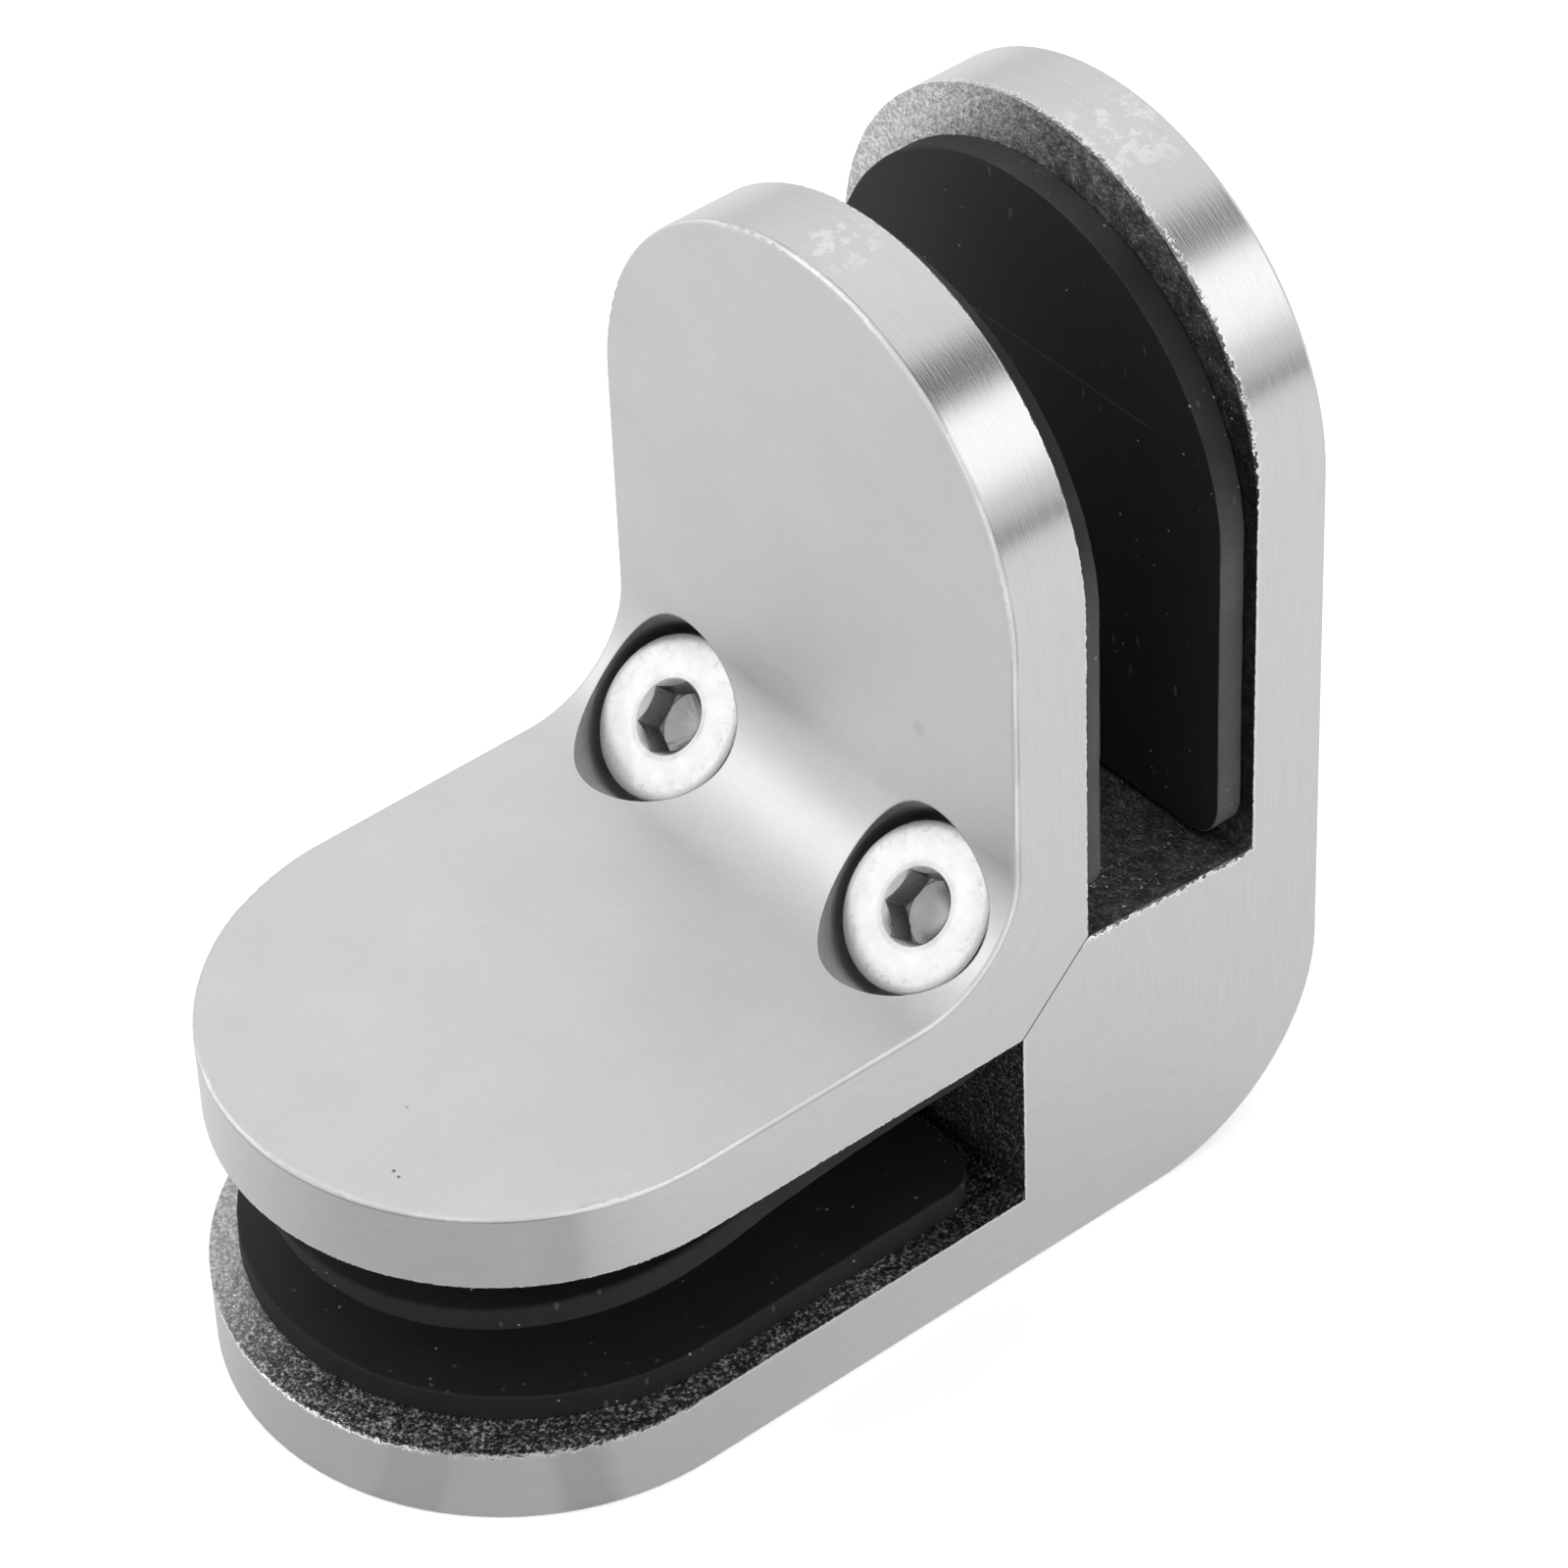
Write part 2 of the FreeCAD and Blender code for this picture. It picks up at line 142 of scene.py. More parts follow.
# The floor's size, and the middle and reach of the shade in front of the foot, in metres
FLOOR_SIZE = 6.0
FRONT_SHADE = (0.075, 0.03, 0.0)
SHADE_REACH = (0.085, 0.02)

# The two flags in that shade: bearings from the foot tip's centre and half widths, in degrees
FOOT_TIP_CENTRE = (0.0185, 0.0, 0.0)
FLOOR_FLAGS = ((30.0, 9.0), (66.0, 9.0))

# How pale the floor and its shade are, and how much they glow in reflections and to the camera
FLOOR_GREY = 0.8
SHADE_GREY = 0.55
FLOOR_BOUNCE = (0.10, 0.17)
SHADE_BOUNCE = 0.05
FLOOR_SEEN_GLOW = 0.45

# The lamp, in metres and watts
LAMP_PLACE = (0.55, -0.50, 0.42)
LAMP_TARGET = (0.0, 0.0, 0.03)
LAMP_WIDTH = 0.5
LAMP_POWER = 0.25

# The camera: place in metres, azimuth, elevation and roll in degrees, and lens and sensor in millimetres
CAMERA_PLACE = (0.221812, 0.294135, 0.358790)
CAMERA_ANGLES = (141.929, 40.936, -2.497)
CAMERA_LENS = 155.824
CAMERA_SENSOR = 36.0


def new_object(name, data):
    """An object in the scene that holds the data."""
    thing = bpy.data.objects.new(name, data)
    bpy.context.scene.collection.objects.link(thing)
    return thing


def evaluated_mesh(holder):
    """The holder's mesh as its modifier makes it, after which the holder is gone."""
    view = bpy.context.evaluated_depsgraph_get()
    mesh = bpy.data.meshes.new_from_object(holder.evaluated_get(view))
    bpy.data.objects.remove(holder)
    return mesh


class NodeMaker:
    """Nodes of one tree, made one after another."""

    def __init__(self, tree):
        self.tree = tree
        tree.nodes.clear()

    def add(self, kind, inputs=None, **settings):
        node = self.tree.nodes.new(kind)
        for name, value in settings.items():
            setattr(node, name, value)
        for name, value in (inputs or {}).items():
            self.feed(node.inputs[name], value)
        return node

    def feed(self, socket, value):
        """A link where the value comes from another node, and otherwise a plain number or colour."""
        if isinstance(value, bpy.types.NodeSocket):
            self.tree.links.new(value, socket)
        else:
            socket.default_value = value

    def maths(self, operation, first, second=0.0, clamp=False):
        node = self.add("ShaderNodeMath", {0: first, 1: second}, operation=operation, use_clamp=clamp)
        return node.outputs[0]

    def chain(self, operation, values):
        result = values[0]
        for value in values[1:]:
            result = self.maths(operation, result, value)
        return result

    def plus(self, *values):
        return self.chain("ADD", values)

    def times(self, *values):
        return self.chain("MULTIPLY", values)

    def minus(self, first, second, clamp=False):
        return self.maths("SUBTRACT", first, second, clamp)

    def over(self, first, second, clamp=False):
        return self.maths("DIVIDE", first, second, clamp)

    def larger(self, first, second):
        return self.maths("MAXIMUM", first, second)

    def smaller(self, first, second):
        return self.maths("MINIMUM", first, second)

    def vector(self, x=0.0, y=0.0, z=0.0):
        return self.add("ShaderNodeCombineXYZ", {0: x, 1: y, 2: z}).outputs[0]

    def parts(self, vector):
        return self.add("ShaderNodeSeparateXYZ", {0: vector}).outputs

    def vector_maths(self, operation, first, second):
        return self.add("ShaderNodeVectorMath", {0: first, 1: second}, operation=operation).outputs


class Recipe(NodeMaker):
    """The nodes of a material or of the world."""

    def step(self, value, low, high):
        """0 below low and 1 above high, with a soft change between; swapped ends fall instead."""
        node = self.add("ShaderNodeMapRange", {"Value": value, "From Min": low, "From Max": high},
                        interpolation_type="SMOOTHSTEP")
        return node.outputs["Result"]

    def spread(self, value, low, high):
        """A 0 to 1 value spread evenly between two numbers."""
        node = self.add("ShaderNodeMapRange", {"Value": value, "To Min": low, "To Max": high})
        return node.outputs["Result"]

    def band(self, value, start, end, soft):
        """1 between two numbers and 0 outside them."""
        return self.times(self.step(value, start - soft, start), self.step(value, end + soft, end))

    def distance(self, vector, point):
        return self.vector_maths("DISTANCE", vector, point)["Value"]

    def stretch(self, vector, scale):
        return self.vector_maths("MULTIPLY", vector, scale)[0]

    def noise(self, vector, scale, detail, roughness):
        node = self.add("ShaderNodeTexNoise", {"Vector": vector, "Scale": scale, "Detail": detail,
                                               "Roughness": roughness})
        return node.outputs["Fac"]

    def cells(self, vector, scale):
        """Distance from the nearest of many scattered points."""
        node = self.add("ShaderNodeTexVoronoi", {"Vector": vector, "Scale": scale, "Randomness": 1.0})
        return node.outputs["Distance"]

    def blend(self, share, first, second):
        """A mix of two plain numbers."""
        node = self.add("ShaderNodeMix", {"Factor": share, "A": first, "B": second}, data_type="FLOAT")
        return node.outputs["Result"]

    def tint(self, value):
        """A neutral grey as bright as the value."""
        node = self.add("ShaderNodeCombineColor", {0: value, 1: value, 2: value})
        return node.outputs["Color"]


class Finish(Recipe):
    """A material made in layers, worked out from the place on the clamp."""

    def __init__(self, name):
        self.material = bpy.data.materials.new(name)
        self.material.use_nodes = True
        super().__init__(self.material.node_tree)
        self.place = self.from_corner()
        self.x, self.y, self.z = self.parts(self.place)
        self.grey, self.rough, self.normal = None, None, None

    def from_corner(self):
        """Object coordinates in millimetres from the square outer corner."""
        metres = self.add("ShaderNodeTexCoord").outputs["Object"]
        scaled = self.stretch(metres, (1.0 / MM, 1.0 / MM, 1.0 / MM))
        return self.vector_maths("ADD", scaled, (-CORNER_X, 0.0, 0.0))[0]

    def from_screw(self, side):
        """Distance from a screw's axis and height above the underside of its head."""
        out_x = self.minus(self.x, SCREW_SEAT)
        out_z = self.minus(self.z, SCREW_SEAT)
        height = self.times(self.plus(out_x, out_z), SCREW_AXIS.x)
        slant = self.times(self.minus(out_x, out_z), SCREW_AXIS.x)
        aside = self.minus(self.y, side)
        squares = self.plus(self.times(slant, slant), self.times(aside, aside))
        return self.maths("SQRT", squares), height

    def grain(self, name):
        return self.noise(self.place, *NOISES[name])

    def paint(self, share, grey=None, rough=None):
        """Covers the layers so far by a share, with another grey, another roughness or both."""
        if grey is not None:
            self.grey = self.blend(share, self.grey, grey)
        if rough is not None:
            self.rough = self.blend(share, self.rough, rough)

    def emboss(self, height, strength, depth):
        """Adds relief to the layers so far; depth is the height of a full 1, in metres."""
        inputs = {"Height": height, "Strength": strength, "Distance": depth}
        if self.normal is not None:
            inputs["Normal"] = self.normal
        self.normal = self.add("ShaderNodeBump", inputs).outputs["Normal"]

    def close(self, metallic, specular=0.5):
        shader = self.add("ShaderNodeBsdfPrincipled", {
            "Base Color": self.tint(self.grey), "Roughness": self.rough, "Normal": self.normal,
            "Metallic": metallic, "Specular IOR Level": specular})
        output = self.add("ShaderNodeOutputMaterial")
        self.feed(output.inputs["Surface"], shader.outputs[0])
        return self.material


class SatinSteel(Finish):
    """Blasted satin faces, brushed rims and rough-cast slot walls with painted shade and glints. Each casting
    adds its own edges.
    """

    FACE_GREY = (0.61, 0.70)
    FACE_ROUGHNESS = (0.36, 0.46)
    RIM_GREY = (0.56, 0.70)
    RIM_ROUGHNESS = (0.15, 0.23)
    CAST_ROUGHNESS = (0.45, 0.62)
    # Pale grey of bare metal, also painted along edges as a highlight
    BARE_METAL_AND_HIGHLIGHT_GREY = 0.95
    BURR_ROUGHNESS = 0.2
    SCUFF_ROUGHNESS = 0.5
    PARTING_GREY = 0.03
    CORNER_SHADE = 0.47
    EVEN_EDGE = (-0.1, 0.2)
    TORN_EDGE = (-0.7, 1.2)

    # Where the walls' painted shade changes, along the wings and across the clamp
    FAR_WALL_LIGHT = (36.0, 72.0)
    NEAR_FOOT_LIGHT = (34.0, 46.0)
    NEAR_UPRIGHT_LIGHT = (60.0, 84.0)
    SLOT_FLOOR_SHADE = (29.6, 32.0)
    NEAR_TO_FAR = (3.0, -13.0)

    def __init__(self, name):
        super().__init__(name)
        self.tall = self.step(self.minus(self.z, self.x), -0.5, 0.5)
        self.low = self.smaller(self.x, self.z)
        self.high = self.larger(self.x, self.z)
        self.slot_floor = self.times(self.tall, self.step(self.low, 7.0, 8.0))
        self.specks = self.grain("specks")
        self.pits = self.grain("pits")
        self.stretches = self.step(self.grain("stretches"), 0.42, 0.6)
        self.depth, self.to_cast = self.depths()
        self.torn = self.torn_share()
        self.cast_edge = self.plus(self.to_cast, self.tears())
        self.cast = self.step(self.cast_edge, -0.06, 0.0)
        self.smooth = self.minus(1.0, self.cast)
        self.rim = self.step(self.depth, RIM_RADIUS * 0.8, RIM_RADIUS * 1.2)
        band, threshold = self.burr_line()
        self.burr = self.times(band, self.step(self.minus(self.specks, threshold), 0.0, 0.06))

    def tears(self):
        """How far the slot's edge wanders: much where it is torn, and little elsewhere."""
        chips = self.grain("chips")
        return self.blend(self.torn, self.spread(chips, *self.EVEN_EDGE), self.spread(chips, *self.TORN_EDGE))

    def lay_metal(self):
        """Satin on the faces and brushing along the rims, with a fine grain on both."""
        grain = self.noise(self.stretch(self.place, (8.0, 1.1, 8.0)), 1.0, 3.0, 0.65)
        streaks = self.noise(self.stretch(self.place, (3.0, 0.22, 3.0)), 1.0, 2.0, 0.5)
        lines = self.vector(self.times(self.depth, 6.0), self.times(self.y, 0.3), self.times(self.high, 0.3))
        brushing = self.noise(lines, 1.0, 3.0, 0.7)
        self.grey = self.plus(self.spread(self.grain("mottle"), *self.FACE_GREY),
                              self.spread(grain, -0.05, 0.05), self.spread(streaks, -0.02, 0.02))
        self.rough = self.plus(self.spread(grain, *self.FACE_ROUGHNESS), self.spread(streaks, -0.04, 0.08))
        rim_grey = self.plus(self.spread(brushing, *self.RIM_GREY), self.spread(grain, -0.02, 0.02))
        self.paint(self.rim, rim_grey, self.spread(brushing, *self.RIM_ROUGHNESS))
        self.emboss(self.blend(self.rim, grain, brushing), self.times(self.smooth, 0.25), 0.05 * MM)

    def lay_cast_walls(self):
        """Pitted walls with painted shade: paler on the far side and towards the wings' tips, darker on the
        foot, darkest by the corner and along the upright's near wall; the upright's pits have painted glints.
        """
        swells = self.grain("swells")
        # Painted shade: the walls darken towards the corner and on the near side, where the plate and pads
        # shade them
        far = self.times(self.blend(self.step(self.pits, 0.40, 0.62), 0.54, 0.96),
                         self.spread(self.step(self.high, *self.FAR_WALL_LIGHT), self.CORNER_SHADE, 1.0))
        near_foot = self.spread(self.step(self.high, *self.NEAR_FOOT_LIGHT), self.CORNER_SHADE, 1.0)
        near_upright = self.blend(self.step(self.high, *self.SLOT_FLOOR_SHADE), self.CORNER_SHADE,
                                  self.spread(self.step(self.high, *self.NEAR_UPRIGHT_LIGHT), 0.12, 1.0))
        foot_pits = self.blend(self.step(self.pits, 0.48, 0.64), 0.10, 0.95)
        # The pale specks on the upright's pits are painted glints
        upright_pits = self.plus(self.spread(self.pits, 0.0, 0.6),
                                 self.times(self.step(self.pits, 0.60, 0.70), 0.45))
        near = self.times(self.blend(self.tall, foot_pits, upright_pits),
                          self.blend(self.tall, near_foot, near_upright),
                          self.blend(self.step(swells, 0.35, 0.65), 0.72, 1.30))
        grey = self.blend(self.step(self.y, *self.NEAR_TO_FAR), near, far)
        # Painted shade: the foot's walls are darker than the upright's
        grey = self.times(grey, self.spread(self.tall, 0.75, 1.0))
        self.paint(self.cast, grey, self.spread(self.pits, *self.CAST_ROUGHNESS))
        self.emboss(self.pits, self.cast, 0.09 * MM)
        self.emboss(swells, self.times(self.cast, 0.6), 0.3 * MM)

    def lay_parting(self):
        """The dark line where the two castings' seats meet."""
        across_seat = self.times(self.minus(self.plus(self.x, self.z), SEAT_LINE), SCREW_AXIS.x)
        by_seat = self.step(self.high, SLOT_END + 0.3, SLOT_END + 0.1)
        line = self.times(self.step(self.maths("ABSOLUTE", across_seat), 0.09, 0.03), by_seat)
        self.paint(line, self.PARTING_GREY)

    def lay_scuff(self, centre, radius):
        """A broken pale patch on the rim round its centre."""
        patch = self.times(self.step(self.distance(self.place, centre), radius, radius * 0.4),
                           self.step(self.grain("scuffs"), 0.50, 0.58), self.rim, self.smooth)
        self.paint(self.times(patch, 0.5), grey=self.BARE_METAL_AND_HIGHLIGHT_GREY)
        self.paint(patch, rough=self.SCUFF_ROUGHNESS)

    def make(self):
        """All layers, in the order in which they cover each other."""
        self.lay_metal()
        self.paint(self.burr, self.BARE_METAL_AND_HIGHLIGHT_GREY, self.BURR_ROUGHNESS)
        self.lay_edges()
        self.lay_cast_walls()
        self.emboss(self.specks, self.times(self.burr, 0.9), 0.3 * MM)
        self.lay_parting()
        self.lay_wear()
        return self.close(metallic=1.0)


class BodySteel(SatinSteel):
    """The body's finish: its slot edges are torn and have a bright, turned-over lip of bare metal in places,
    with a painted highlight.
    """

    LIP_WIDTH = (-0.30, -0.18, -0.06, -0.02)
    LIP_SHARE = (0.35, 1.0)
    LIP_TURN = 0.84
    TORN_FROM = (58.0, 66.0)
    TIP_LIP_FROM = (74.0, 78.0)
    TIP_LIP_SIDE = (15.0, 10.0)

    def depths(self):
        """Distance below the outer faces, and how far inside the slot a place lies."""
        from_wing = self.minus(self.low, WING_THICKNESS)
        fall = self.spread(self.over(from_wing, SLOT_DEPTH), UPRIGHT_SLOT_FALL, 0.0)
        above_floor = self.plus(self.minus(self.high, SLOT_END), self.times(fall, self.tall))
        return self.low, self.smaller(from_wing, above_floor)

    def torn_share(self):
        """The slot's edge is torn round the wings' tips and along the upright slot's floor."""
        return self.larger(self.step(self.high, *self.TORN_FROM), self.slot_floor)

    def burr_line(self):
        """Where burrs can stand, and how strong a speck has to be for one."""
        threshold = self.plus(self.blend(self.stretches, 0.56, 0.46), self.blend(self.torn, 0.14, 0.0))
        return self.band(self.cast_edge, -0.24, -0.04, 0.08), threshold

    def lay_edges(self):
        """A lip of bare metal round the slot with a painted highlight, full by the slot's floor and beside
        the foot's tip.
        """
        start, full, fading, end = self.LIP_WIDTH
        self.lip = self.times(self.step(self.cast_edge, start, full), self.step(self.cast_edge, end, fading))
        floor_edge = self.times(self.slot_floor, self.step(self.specks, 0.44, 0.52))
        tip_edge = self.times(self.step(self.x, *self.TIP_LIP_FROM), self.step(self.y, *self.TIP_LIP_SIDE))
        self.bright_lip = self.larger(floor_edge, tip_edge)
        # Bare metal with a painted highlight along the lip
        self.paint(self.times(self.lip, self.blend(self.bright_lip, *self.LIP_SHARE)), grey=self.BARE_METAL_AND_HIGHLIGHT_GREY)

    def lay_wear(self):
        """The scuff, and the lip's tilt, which makes it mirror a bright panel."""
        self.lay_scuff(*BODY_SCUFF)
        self.emboss(self.times(self.to_cast, -1.0), self.times(self.bright_lip, self.lip), self.LIP_TURN * MM)


class PlateSteel(SatinSteel):
    """The plate's finish: a painted glint and a line of painted shade along its front edges, turned recesses
    with painted shade, and small marks.
    """

    GLINT_BAND = (0.12, 0.22, 0.06)
    EDGE_SHADE_BAND = (0.38, 0.46, 0.07)
    EDGE_SHADE_GREY = 0.18
    BORE_GREY = (0.60, 0.84)
    BORE_ROUGHNESS = 0.36
    MARK_GREY = 0.05

    def depths(self):
        """Distance below the front, round the inner corner too, and how far behind the wing a place lies."""
        bend_x = self.larger(self.minus(PLATE_FRONT + INNER_RADIUS, self.x), 0.0)
        bend_z = self.larger(self.minus(PLATE_FRONT + INNER_RADIUS, self.z), 0.0)
        reach = self.maths("SQRT", self.plus(self.times(bend_x, bend_x), self.times(bend_z, bend_z)))
        return self.minus(reach, INNER_RADIUS), self.minus(PLATE_FRONT - WING_THICKNESS, self.low)

    def torn_share(self):
        """The plate's edges are nowhere torn."""
        return 0.0

    def burr_line(self):
        """Where burrs can stand, and how strong a speck has to be for one."""
        return self.band(self.depth, 0.12, 0.34, 0.06), self.blend(self.stretches, 0.68, 0.56)

    def lay_edges(self):
        """A lip along the back edge with a painted highlight, and a painted glint with a line of painted
        shade beside it along the front edge.
        """
        # Bare metal with a painted highlight along the back edge
        lip = self.times(self.step(self.to_cast, -0.17, -0.09), self.step(self.to_cast, 0.02, -0.02))
        self.paint(self.times(lip, 0.7), grey=self.BARE_METAL_AND_HIGHLIGHT_GREY)
        # Painted highlight: the glint along the front edge
        glint = self.times(self.band(self.depth, *self.GLINT_BAND), self.spread(self.stretches, 0.1, 0.6))
        self.paint(glint, grey=self.BARE_METAL_AND_HIGHLIGHT_GREY)
        # Painted shade: a dark line beside the glint along the front edge
        groove = self.times(self.band(self.depth, *self.EDGE_SHADE_BAND), self.spread(self.stretches, 0.45, 0.10))
        self.paint(groove, grey=self.EDGE_SHADE_GREY)

    def lay_recesses(self):
        """Turning rings in the two recesses, with painted shade that makes them darker towards the upright
        wing.
        """
        bored, rings = 0.0, 0.0
        for side in SCREW_SIDES.values():
            radius, height = self.from_screw(side)
            inside = self.times(self.step(radius, RECESS_RADIUS + 0.12, RECESS_RADIUS + 0.02),
                                self.step(height, -5.0, -4.0))
            turned = self.noise(self.vector(self.times(height, 7.0), self.y, side), 0.9, 3.0, 0.7)
            bored = self.larger(bored, inside)
            rings = self.larger(rings, self.times(inside, turned))
        # Painted shade: the recess walls get darker towards the upright wing
        on_upright = self.step(self.minus(self.z, self.x), -3.0, 5.0)
        grey = self.times(self.spread(rings, *self.BORE_GREY), self.blend(on_upright, 0.85, 0.45))
        self.paint(bored, grey, self.BORE_ROUGHNESS)
        self.emboss(rings, self.times(bored, 0.35), 0.2 * MM)

    def lay_wear(self):
        """The scuff, the turned recesses and the small marks."""
        self.lay_scuff(*PLATE_SCUFF)
        self.lay_recesses()
        for centre, radius, darkness in PLATE_MARKS:
            mark = self.step(self.distance(self.place, centre), radius, radius * 0.6)
            self.paint(self.times(mark, darkness), grey=self.MARK_GREY)


class BrightSteel(Finish):
    """A shiny screw: clouds, fine scratches and worn patches near the head's edge, painted shade round the
    head's outer edge and the socket's edge, and painted shade in the socket.
    """

    HEAD_GREY = (0.52, 0.76)
    SHANK_GREY = (0.55, 0.68)
    SCRATCH_GREY = 0.6
    OUTER_EDGE_SHADE_GREY = (0.15, 0.55)
    WORN_GREY = 0.40
    SOCKET_EDGE_SHADE_GREY = (0.25, 0.75)
    SOCKET_SHADE_GREY = 0.58
    DEEP_SOCKET_SHADE_GREY = (0.26, 0.46)

    def make(self, side):
        radius, height = self.from_screw(side)
        face = self.step(height, HEAD_HEIGHT - 0.05, HEAD_HEIGHT - 0.02)
        clouds = self.grain("steel clouds")
        grain = self.grain("steel grain")
        scratches = self.noise(self.stretch(self.place, (0.6, 12.0, 0.9)), 0.7, 3.0, 0.8)
        self.grey = self.spread(clouds, *self.HEAD_GREY)
        self.rough = self.blend(face, self.spread(grain, 0.22, 0.32), self.spread(grain, 0.28, 0.38))
        self.paint(self.times(self.step(scratches, 0.68, 0.76), face, 0.35), self.SCRATCH_GREY)
        # Painted shade on the head's outer edge
        outer_edge = self.step(radius, HEAD_RADIUS - 0.8, HEAD_RADIUS - 0.2)
        self.paint(self.times(outer_edge, face, 0.8), self.spread(scratches, *self.OUTER_EDGE_SHADE_GREY))
        worn = self.times(self.step(radius, 4.4, 5.9), self.step(self.grain("head wear"), 0.54, 0.62))
        self.paint(self.times(worn, face, 0.6), self.WORN_GREY)
        # Painted shade round the socket's edge
        socket_edge = self.step(radius, SOCKET_RADIUS + 0.45, SOCKET_RADIUS + 0.2)
        self.paint(self.times(socket_edge, face, 0.6), self.spread(clouds, *self.SOCKET_EDGE_SHADE_GREY))
        # Painted shade in the socket, darker deeper down
        in_socket = self.times(self.step(radius, SOCKET_RADIUS, SOCKET_RADIUS - 0.1),
                               self.step(height, HEAD_HEIGHT - 0.02, HEAD_HEIGHT - 0.1))
        self.paint(in_socket, self.SOCKET_SHADE_GREY)
        deep = self.times(in_socket, self.step(height, HEAD_HEIGHT - 0.4, HEAD_HEIGHT - 0.5))
        self.paint(deep, self.spread(clouds, *self.DEEP_SOCKET_SHADE_GREY))
        self.paint(self.step(height, -0.05, -0.1), self.spread(clouds, *self.SHANK_GREY))
        self.emboss(grain, 0.1, 0.04 * MM)
        self.emboss(scratches, self.times(face, 0.12), 0.06 * MM)
        return self.close(metallic=1.0)


class BlackRubber(Finish):
    """Sheet rubber: near-black faces, greyer cut edges with painted light in places, faint texture, nicks,
    dust and a long scratch.
    """

    FACE_GREY = (0.006, 0.013)
    EDGE_GREY = (0.009, 0.02)
    NICK_GREY = 0.10
    SCRATCH_GREY = 0.08
    DUST_GREY = 0.3

    # Heights at which painted light makes the upright pads' cut edges lighter
    LIT_BAND_FROM = (24.0, 30.0)
    LIT_BAND_UP_TO = (69.0, 52.0)
    SHOULDER = (67.0, 73.0, 3.0)
    TIP_FROM = (74.0, 78.0)

    def edge_grey(self, clouds):
        """Cut edges, with painted light along the upright pads' straight sides and round their tips."""
        # Painted light: lighter bands on the cut edges
        lit_band = self.times(self.step(self.z, *self.LIT_BAND_UP_TO), self.step(self.z, *self.LIT_BAND_FROM))
        return self.times(self.spread(clouds, *self.EDGE_GREY), self.spread(lit_band, 1.0, 6.0),
                          self.spread(self.band(self.z, *self.SHOULDER), 1.0, 1.6),
                          self.spread(self.step(self.z, *self.TIP_FROM), 1.0, 3.5))

    def scratch(self, edge):
        """The long scratch, fainter on the pad opposite and faint across the cut edges."""
        height, thickness, start, end = PAD_SCRATCH
        line = self.times(self.band(self.z, height - thickness, height + thickness, 0.06),
                          self.band(self.y, start, end, 2.0), self.step(self.x, *PAD_SCRATCH_FADE))
        return self.times(line, self.minus(0.6, edge, clamp=True))

    def make(self):
        edge = self.add("ShaderNodeAttribute", attribute_name="cut_edge").outputs["Fac"]
        clouds = self.grain("rubber clouds")
        grain = self.grain("rubber grain")
        self.grey = self.blend(edge, self.spread(clouds, *self.FACE_GREY), self.edge_grey(clouds))
        self.rough = self.blend(edge, self.spread(clouds, 0.5, 0.62), self.spread(grain, 0.62, 0.8))
        nicks = self.times(self.step(self.cells(self.stretch(self.place, (0.9, 0.9, 0.3)), 0.8), 0.15, 0.09),
                           self.step(self.grain("nicked parts"), 0.46, 0.54))
        self.paint(self.times(nicks, 0.6), self.NICK_GREY)
        self.paint(self.scratch(edge), self.SCRATCH_GREY)
        dust = self.times(self.step(self.cells(self.place, 0.6), 0.085, 0.035),
                          self.step(self.grain("dusty parts"), 0.46, 0.52))
        self.paint(dust, self.DUST_GREY)
        self.emboss(grain, self.blend(edge, 0.08, 0.5), 0.1 * MM)
        return self.close(metallic=0.0, specular=self.blend(edge, 0.4, 0.25))


def finish_piece(name, mesh, body, nodes, material):
    """A piece at the origin that stands for its CAD nodes and rides with their body."""
    piece = new_object(name, mesh)
    mesh.materials.clear()
    mesh.materials.append(material)
    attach(piece, body)
    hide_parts(*nodes)


def merged_copy(node):
    """The CAD node's mesh as one closed surface of flat faces."""
    form = bmesh.new()
    form.from_mesh(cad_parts[node].data)
    bmesh.ops.remove_doubles(form, verts=form.verts, dist=1e-6)
    bmesh.ops.dissolve_limit(form, angle_limit=math.radians(0.5), verts=form.verts, edges=form.edges)
    return form


def outline_edges(form, out):
    """The edges where a pad's cut sides meet its two faces."""
    edges = []
    for edge in form.edges:
        along = (edge.verts[1].co - edge.verts[0].co).normalized()
        sharp = len(edge.link_faces) == 2 and edge.calc_face_angle(0.0) > math.radians(50.0)
        if sharp and abs(along.dot(out)) < 0.7:
            edges.append(edge)
    return edges


def loose_pad_outline(half_width, length):
    """Half of the loose pad's outline, as places along it and half widths, stuck end first."""
    corner = PAD_CORNER_RADIUS
    points = []
    for step in range(CORNER_STEPS + 1):
        angle = math.radians(90.0 * step / CORNER_STEPS)
        points.append((corner - corner * math.cos(angle), half_width - corner + corner * math.sin(angle)))
    straight = length - half_width - corner
    for step in range(1, STRAIGHT_STEPS):
        points.append((corner + straight * step / STRAIGHT_STEPS, half_width))
    for step in range(TIP_STEPS + 1):
        angle = math.radians(90.0 * step / TIP_STEPS)
        points.append((length - half_width + half_width * math.sin(angle), half_width * math.cos(angle)))
    return points


